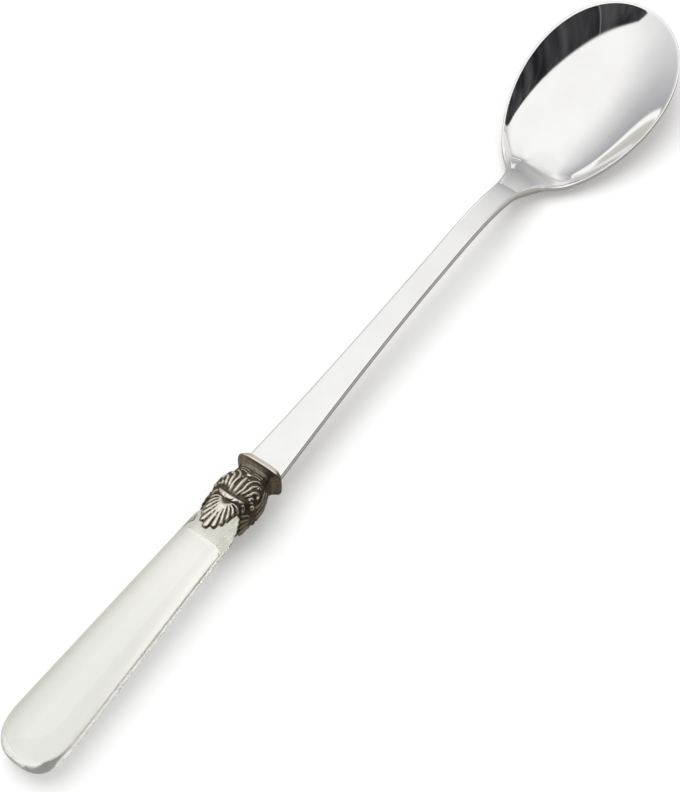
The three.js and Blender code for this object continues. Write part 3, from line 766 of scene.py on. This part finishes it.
def smoothLine(points, count=22):     # a rounded line through a few places
    points = np.array(points, float)
    t = np.linspace(0, len(points) - 1, count)
    padded = np.concatenate([[2 * points[0] - points[1]], points, [2 * points[-1] - points[-2]]])
    i = np.minimum(t.astype(int), len(points) - 2)
    f = (t - i)[:, None]
    a, b, c, d = padded[i], padded[i + 1], padded[i + 2], padded[i + 3]
    bent = (2 * a - 5 * b + 4 * c - d) * f ** 2 + (3 * b - a - 3 * c + d) * f ** 3
    return 0.5 * (2 * b + (c - a) * f + bent)


def ribHeight(x, w, rib):
    *points, startWidth, endWidth, height = rib
    line = smoothLine(points)
    result = np.zeros_like(x)
    reach = max(startWidth, endWidth)
    near = ((x > line[:, 0].min() - reach) & (x < line[:, 0].max() + reach)
            & (w > line[:, 1].min() - reach) & (w < line[:, 1].max() + reach))
    px, pw = x[near], w[near]
    best = np.zeros(len(px))
    (startSteep, startShare), (endSteep, endShare) = ferruleForm["ribStart"], ferruleForm["ribEnd"]
    for k in range(len(line) - 1):
        a, b = line[k], line[k + 1]
        run = (px - a[0]) * (b[0] - a[0]) + (pw - a[1]) * (b[1] - a[1])
        along = clamp01(run / ((b - a) @ (b - a)))
        gap = np.hypot(px - a[0] - along * (b[0] - a[0]), pw - a[1] - along * (b[1] - a[1]))
        share = (k + along) / (len(line) - 1)
        width = lerp(startWidth, endWidth, share)
        ends = clamp01(share * startSteep + startShare) * clamp01((1 - share) * endSteep + endShare)
        best = np.maximum(best, np.sqrt(np.maximum(1 - (gap / width) ** 2, 0)) * height * ends)
    result[near] = best
    return result


def tieHeight(x, w):
    t = tieForm
    half = t["half"] * np.maximum(1 - (w / t["reach"]) ** 2, 0) ** t["pointPower"] + t["leastHalf"]
    bow = np.maximum(1 - ((x - t["middleX"] - t["sweep"] * w ** 2) / half) ** 2, 0)
    crease = 1
    for start in t["creases"]:
        away = (w - start - t["creaseLean"] * (x - t["creaseX"])) / t["creaseWidth"]
        crease = crease - t["creaseDepth"] * np.exp(-away ** 2) * (1 - easeStep(*t["creaseEnds"], x))
    sides = np.sqrt(np.maximum(1 - (w / t["heightReach"]) ** 2, 0))
    return t["height"] * bow ** t["fullness"] * sides * crease


def carvedHeight(x, w):               # w is the distance round from the nearer centre line
    height = tieHeight(x, w)
    for group in carvedRibs.values():
        for rib in group:
            height = np.maximum(height, ribHeight(x, w, rib))
    for beadX, beadW, radius, tall in beads:
        gap = np.hypot(x - beadX, w - beadW) / radius
        height = np.maximum(height, tall * np.sqrt(np.maximum(1 - gap ** 2, 0)))
    return height


def wearAndPaintedLightShare(x, w, height):        # how bright the metal is at a place: rubbed wear by height, painted shade round the sides, a painted highlight on the collar's bar
    r = wearAndPaintedLight
    crests = r["least"] + (1 - r["least"]) * clamp01(height / r["crestHeight"]) ** r["power"]
    crests = crests * (1 - r["sideShade"] * easeStep(*r["sides"], w))
    collar = r["collar"] * easeStep(*r["collarX"], x) * (1 - r["collarSideShade"] * easeStep(*r["collarSides"], w))
    bar = easeStep(*r["barX"], x) * (1 - r["barSideShade"] * easeStep(*r["barSides"], w))
    return np.maximum(crests, np.maximum(collar, bar))


def sleeveEdge(w):                    # where the leafy edge lies
    f = ferruleForm
    edge = np.full_like(w, f["edgeX"])
    for x, middle, radius in edgeLobes:
        away = np.abs(w - middle) / radius
        lobe = x + f["lobeDepth"] * (1 - np.sqrt(np.maximum(1 - away ** 2, 0)))
        edge = np.where(away < 1, np.minimum(edge, lobe), edge)
    return edge


def cupSize(x):                       # half width and half height of the sleeve's inside on the handle
    return handleHalf(x, 0) + ferruleForm["fit"], handleHalf(x, 1) + ferruleForm["fit"]


def makeFerrule():
    f = ferruleForm
    columns = f["columns"]
    quarter = f["girthRadius"] * math.pi / 2
    angle = np.arange(columns) / columns * 2 * math.pi
    w = np.abs((angle * f["girthRadius"] + quarter) % (2 * quarter) - quarter)
    edge = sleeveEdge(w)

    shares = (np.arange(f["edgeRows"]) / f["edgeRows"]) ** f["edgeCrowd"]
    stations = [lerp(edge, f["leafRootX"], share) for share in shares]
    body = np.linspace(f["leafRootX"], f["collarX"], f["bodyRows"] + 1)[:-1]
    collar = np.linspace(f["collarX"], f["faceX"], f["collarRows"] + 1)
    stations += [np.full(columns, x) for x in np.concatenate([body, collar])]
    outer, relief = [], []
    for k, x in enumerate(stations):
        halfWidth, halfHeight, square = sleeveShape(x)
        cupWidth, cupHeight = cupSize(x)
        onHandle = 1 - easeStep(*f["lapEnds"], x)
        halfWidth = lerp(halfWidth, np.maximum(halfWidth, cupWidth + f["leafStand"]), onHandle)
        halfHeight = lerp(halfHeight, np.maximum(halfHeight, cupHeight + f["leafStand"]), onHandle)
        height = carvedHeight(x, w)
        ground = f["ground"] * easeStep(*f["groundStarts"], x) * (1 - easeStep(*f["groundEnds"], x))
        lip = f["lip"] * math.exp(-(k / f["lipRows"]) ** 2)
        extra = height - ground - lip
        outer.append(placeRing(x, *roundSection(halfWidth + extra, halfHeight + extra, angle, square)))
        relief.append(wearAndPaintedLightShare(x, w, height))

    # back along the inside: the recess for the stem, the slot for the tang and the cup on the handle
    recess = placeRing(f["faceX"], *slotSection(f["seat"], angle))
    inner = [lerp(outer[-1], recess, t) for t in f["faceRings"]]
    for x, size in ((f["seatX"], f["seat"]), (f["seatX"], f["passage"]), (f["cupEndX"], f["passage"])):
        inner.append(placeRing(x, *slotSection(size, angle)))
    cup = [f["cupEndX"], *f["cupRings"]]
    cup += [lerp(edge + f["edgeInset"], f["cupRootX"], t) for t in f["leafRings"]]
    for x in cup:
        inner.append(placeRing(x, *roundSection(*cupSize(x), angle, handleForm["sectionPower"])))
    grid = np.array(outer + inner)
    # painted light: the sleeve's inside takes a colour almost as bright as a rubbed crest, where it lies in
    # shade
    relief = np.concatenate([np.array(relief), np.full((len(inner), columns), wearAndPaintedLight["inside"])])
    rowCount = len(grid)

    clearSelection()
    bpy.ops.mesh.primitive_torus_add(major_segments=columns, minor_segments=rowCount,
                                     major_radius=1, minor_radius=0.25)
    piece = bpy.context.object
    piece.name = piece.data.name = "carvedFerrule"
    places = readPlaces(piece)
    turn = np.arctan2(places[:, 1], places[:, 0]) / (2 * math.pi)
    column = np.rint(turn * columns).astype(int) % columns
    minor = np.arctan2(places[:, 2], np.hypot(places[:, 0], places[:, 1]) - 1) / (2 * math.pi)
    row = np.rint(minor * rowCount).astype(int) % rowCount
    writePlaces(piece, toFrame(grid[row, column]))
    # relief holds patina and wear, with painted shade round the sides, a painted highlight on the bar and
    # painted light inside
    attribute = piece.data.attributes.new("relief", "FLOAT", "POINT")
    attribute.data.foreach_set("value", relief[row, column].astype(np.float32))
    finishPiece(piece, "ferrule", antiqueSilver, f["sharpAngle"])
    return piece


carvedFerrule = makeFerrule()

# Resin round the tang: the solid stays and takes its own material

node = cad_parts["socket_cement"]
node.data.materials.clear()
node.data.materials.append(clearCement)
print("socket_cement given", clearCement.name)

# Table, light and camera

white = (1, 1, 1, 1)
studio = {
    "floorSize": 40,                  # m
    "floorColour": "#f4f4f4", "floorRoughness": 0.9,
    "floorLift": 0.155,               # what the white sweep adds where the camera sees it
    "floorShadeInMirror": "#b9b4ae",       # painted shade: the table darker where the metal mirrors it
    "floorThrough": 0.58,             # what the sweep adds under the clear handle
    "worldLevel": 0.62,               # soft light from all round
    "worldThrough": 0.85,             # the room as the clear handle shows it
    "keyLevel": 0.42,                 # light on a level surface from the large lamp
    "keyWidth": 50,                   # degrees that the lamp spans
    "keyFrom": (0.16, 0.99, 0),       # the lamp leans this way, to the picture's upper left
    "keyLean": 0.28,                  # how far, as a share of its height
}

clearSelection()
bpy.ops.mesh.primitive_plane_add(size=studio["floorSize"])
floor = bpy.context.object
floor.name = "tableTop"
# White paper, matt: has no gloss of its own and takes the spoon's shadow; the metal mirrors it with a painted
# darker shade
floorMaterial, tree, shader, _ = newMaterial("whitePaperSweep", {
    "Roughness": studio["floorRoughness"], "Specular IOR Level": 0, "Emission Color": white})
lightPath = addNode(tree, "ShaderNodeLightPath").outputs
# painted shade: glossy rays see the table in a darker colour than the camera does
tableColourOrMirrorShade = addNode(tree, "ShaderNodeMix", settings={"data_type": "RGBA"},
               values={6: hexColour(studio["floorColour"]), 7: hexColour(studio["floorShadeInMirror"])},
               links={0: lightPath["Is Glossy Ray"]})
tree.links.new(tableColourOrMirrorShade.outputs[2], shader.inputs["Base Color"])
direct = addNode(tree, "ShaderNodeMath", settings={"operation": "MULTIPLY"},
                 values={1: studio["floorLift"]}, links={0: lightPath["Is Camera Ray"]})
lift = addNode(tree, "ShaderNodeMath", settings={"operation": "MULTIPLY_ADD"},
               values={1: studio["floorThrough"]},
               links={0: lightPath["Is Transmission Ray"], 2: direct.outputs[0]})
tree.links.new(lift.outputs[0], shader.inputs["Emission Strength"])
floor.data.materials.append(floorMaterial)

cameraView = {
    "elevation": 57.5, "azimuth": 54.2133, "distance": 1000.0,
    "targetHeight": -0.3,             # mm
    "aimRight": -1.620, "aimUp": -0.466,
    "scale": 4.842738,                # pixels for a millimetre at the target
    "imageWidth": 680, "sensorWidth": 36, "seesTo": 20,
}
elevation, azimuth = math.radians(cameraView["elevation"]), math.radians(cameraView["azimuth"])
topWay = Vector((0, 0, 1))
rightWay = Vector((math.cos(azimuth), -math.sin(azimuth), 0))
awayWay = Vector((math.sin(azimuth), math.cos(azimuth), 0))
upWay = awayWay * math.sin(elevation) + topWay * math.cos(elevation)
lookWay = awayWay * math.cos(elevation) - topWay * math.sin(elevation)
target = topWay * cameraView["targetHeight"] * mm
eye = target - lookWay * cameraView["distance"] * mm
aim = target + rightWay * cameraView["aimRight"] * mm + upWay * cameraView["aimUp"] * mm
camera = bpy.data.objects.new("viewpoint", bpy.data.cameras.new("viewpoint"))
bpy.context.scene.collection.objects.link(camera)
camera.location = eye
camera.rotation_euler = (aim - eye).to_track_quat("-Z", "Y").to_euler()
camera.data.sensor_fit = "HORIZONTAL"
camera.data.sensor_width = cameraView["sensorWidth"]
focal = cameraView["scale"] * cameraView["distance"] / cameraView["imageWidth"]
camera.data.lens = focal * cameraView["sensorWidth"]
camera.data.clip_end = cameraView["seesTo"]
bpy.context.scene.camera = camera

# The room that the steel mirrors. A direction is read as how far it points up, to the camera's right
# and away from it, each from -1 to 1.
room = {
    # across from the camera, and off to its right, the room is lit further down
    "ahead": (0.58, 0.765), "aheadTaper": -0.6, "aheadLift": 0.33,
    "aside": (0.45, 0.85), "asideLift": 0.35,
    # grey low down, a bright strip of lit wall, and brightening grey up to the white ceiling
    "sky": [(0.0, "#dedbd7"), (0.2, "#c6c2be"), (0.32, "#d2cfcb"), (0.35, "#ffffff"), (0.39, "#ffffff"),
            (0.42, "#acacb0"), (0.485, "#b7b7bb"), (0.56, "#c2c2c5"), (0.64, "#d4d4d6"), (0.72, "#e2e2e4"),
            (0.79, "#f0f0f1"), (0.85, "#fafafa"), (0.9, "#ffffff")],
    # the dark side, behind the camera and round to its right, with a bent edge
    "darkLeft": -0.5, "darkShift": 0.1, "darkBend": 0.53, "darkEdge": (0.33, 0.35),
    "patches": 7, "darkColours": [(0.35, "#232327"), (0.65, "#4c4c4e")],
    # a lamp stand in it, between two soft edges
    "standLeft": (-0.078, -0.070), "standRight": (-0.066, -0.058), "standColour": "#77777a",
}
world = bpy.data.worlds.new("paleStudio")
bpy.context.scene.world = world
world.use_nodes = True
tree = world.node_tree
tree.nodes.clear()
direction = addNode(tree, "ShaderNodeTexCoord").outputs["Generated"]
toTop, toRight, toAway = [
    addNode(tree, "ShaderNodeVectorMath", settings={"operation": "DOT_PRODUCT"},
            values={1: tuple(way)}, links={0: direction}).outputs["Value"]
    for way in (topWay, rightWay, awayWay)]

aside = addNode(tree, "ShaderNodeMath", settings={"operation": "ABSOLUTE"}, links={0: toRight}).outputs[0]
ahead = addNode(tree, "ShaderNodeMath", settings={"operation": "MULTIPLY_ADD"},
                values={1: room["aheadTaper"]}, links={0: aside, 2: toAway}).outputs[0]
upward = toTop
for value, (start, end), height in ((ahead, room["ahead"], room["aheadLift"]),
                                    (toRight, room["aside"], room["asideLift"])):
    rise = addNode(tree, "ShaderNodeMapRange", links={"Value": value},
                   values={"From Min": start, "From Max": end, "To Max": height}).outputs["Result"]
    upward = addNode(tree, "ShaderNodeMath", settings={"operation": "ADD"},
                     links={0: upward, 1: rise}).outputs[0]
sky = addNode(tree, "ShaderNodeValToRGB", links={"Fac": upward}, stops=room["sky"]).outputs["Color"]

bend = toRight
for operation, amount in (("MAXIMUM", room["darkLeft"]), ("ADD", room["darkShift"])):
    bend = addNode(tree, "ShaderNodeMath", settings={"operation": operation},
                   values={1: amount}, links={0: bend}).outputs[0]
bent = addNode(tree, "ShaderNodeMath", settings={"operation": "MULTIPLY"},
               links={0: bend, 1: bend}).outputs[0]
bent = addNode(tree, "ShaderNodeMath", settings={"operation": "MULTIPLY"},
               values={1: room["darkBend"]}, links={0: bent}).outputs[0]
behind = addNode(tree, "ShaderNodeMath", settings={"operation": "SUBTRACT"},
                 links={0: bent, 1: toAway}).outputs[0]
isDark, standLeft, standRight = [
    addNode(tree, "ShaderNodeMapRange", settings={"interpolation_type": "SMOOTHSTEP"},
            values={"From Min": start, "From Max": end}, links={"Value": value}).outputs["Result"]
    for value, (start, end) in ((behind, room["darkEdge"]), (toRight, room["standLeft"]),
                                (toRight, room["standRight"]))]
isStand = addNode(tree, "ShaderNodeMath", settings={"operation": "SUBTRACT"},
                  links={0: standLeft, 1: standRight}).outputs[0]
clutter = addNode(tree, "ShaderNodeTexNoise", values={"Scale": room["patches"], "Detail": 2},
                  links={"Vector": direction}).outputs["Fac"]
darkRoom = addNode(tree, "ShaderNodeValToRGB", links={"Fac": clutter}, stops=room["darkColours"])
darkSide = addNode(tree, "ShaderNodeMix", settings={"data_type": "RGBA"},
                   values={7: hexColour(room["standColour"])},
                   links={0: isStand, 6: darkRoom.outputs["Color"]})
mirrored = addNode(tree, "ShaderNodeMix", settings={"data_type": "RGBA"},
                   links={0: isDark, 6: sky, 7: darkSide.outputs[2]})

# metal sees the room, the clear handle a plain bright one, and the camera white
lightPath = addNode(tree, "ShaderNodeLightPath").outputs
seen = addNode(tree, "ShaderNodeBackground", values={"Color": white, "Strength": studio["worldLevel"]})
for ray, level, colour in (("Is Glossy Ray", 1, {"Color": mirrored.outputs[2]}),
                           ("Is Transmission Ray", studio["worldThrough"], None),
                           ("Is Camera Ray", 1, None)):
    part = addNode(tree, "ShaderNodeBackground", values={"Color": white, "Strength": level}, links=colour)
    seen = addNode(tree, "ShaderNodeMixShader",
                   links={0: lightPath[ray], 1: seen.outputs[0], 2: part.outputs[0]})
addNode(tree, "ShaderNodeOutputWorld", links={"Surface": seen.outputs[0]})

keyLight = bpy.data.objects.new("softKey", bpy.data.lights.new("softKey", "SUN"))
bpy.context.scene.collection.objects.link(keyLight)
keyWay = Vector(studio["keyFrom"]).normalized() * studio["keyLean"] + topWay
keyWay.normalize()
keyLight.rotation_euler = (-keyWay).to_track_quat("-Z", "Y").to_euler()
keyLight.data.angle = math.radians(studio["keyWidth"])
keyLight.data.energy = studio["keyLevel"] * math.pi / keyWay.z
keyLight.visible_glossy = False
keyLight.visible_transmission = False
print("studio ready")

bpy.context.scene.view_settings.view_transform = "Standard"
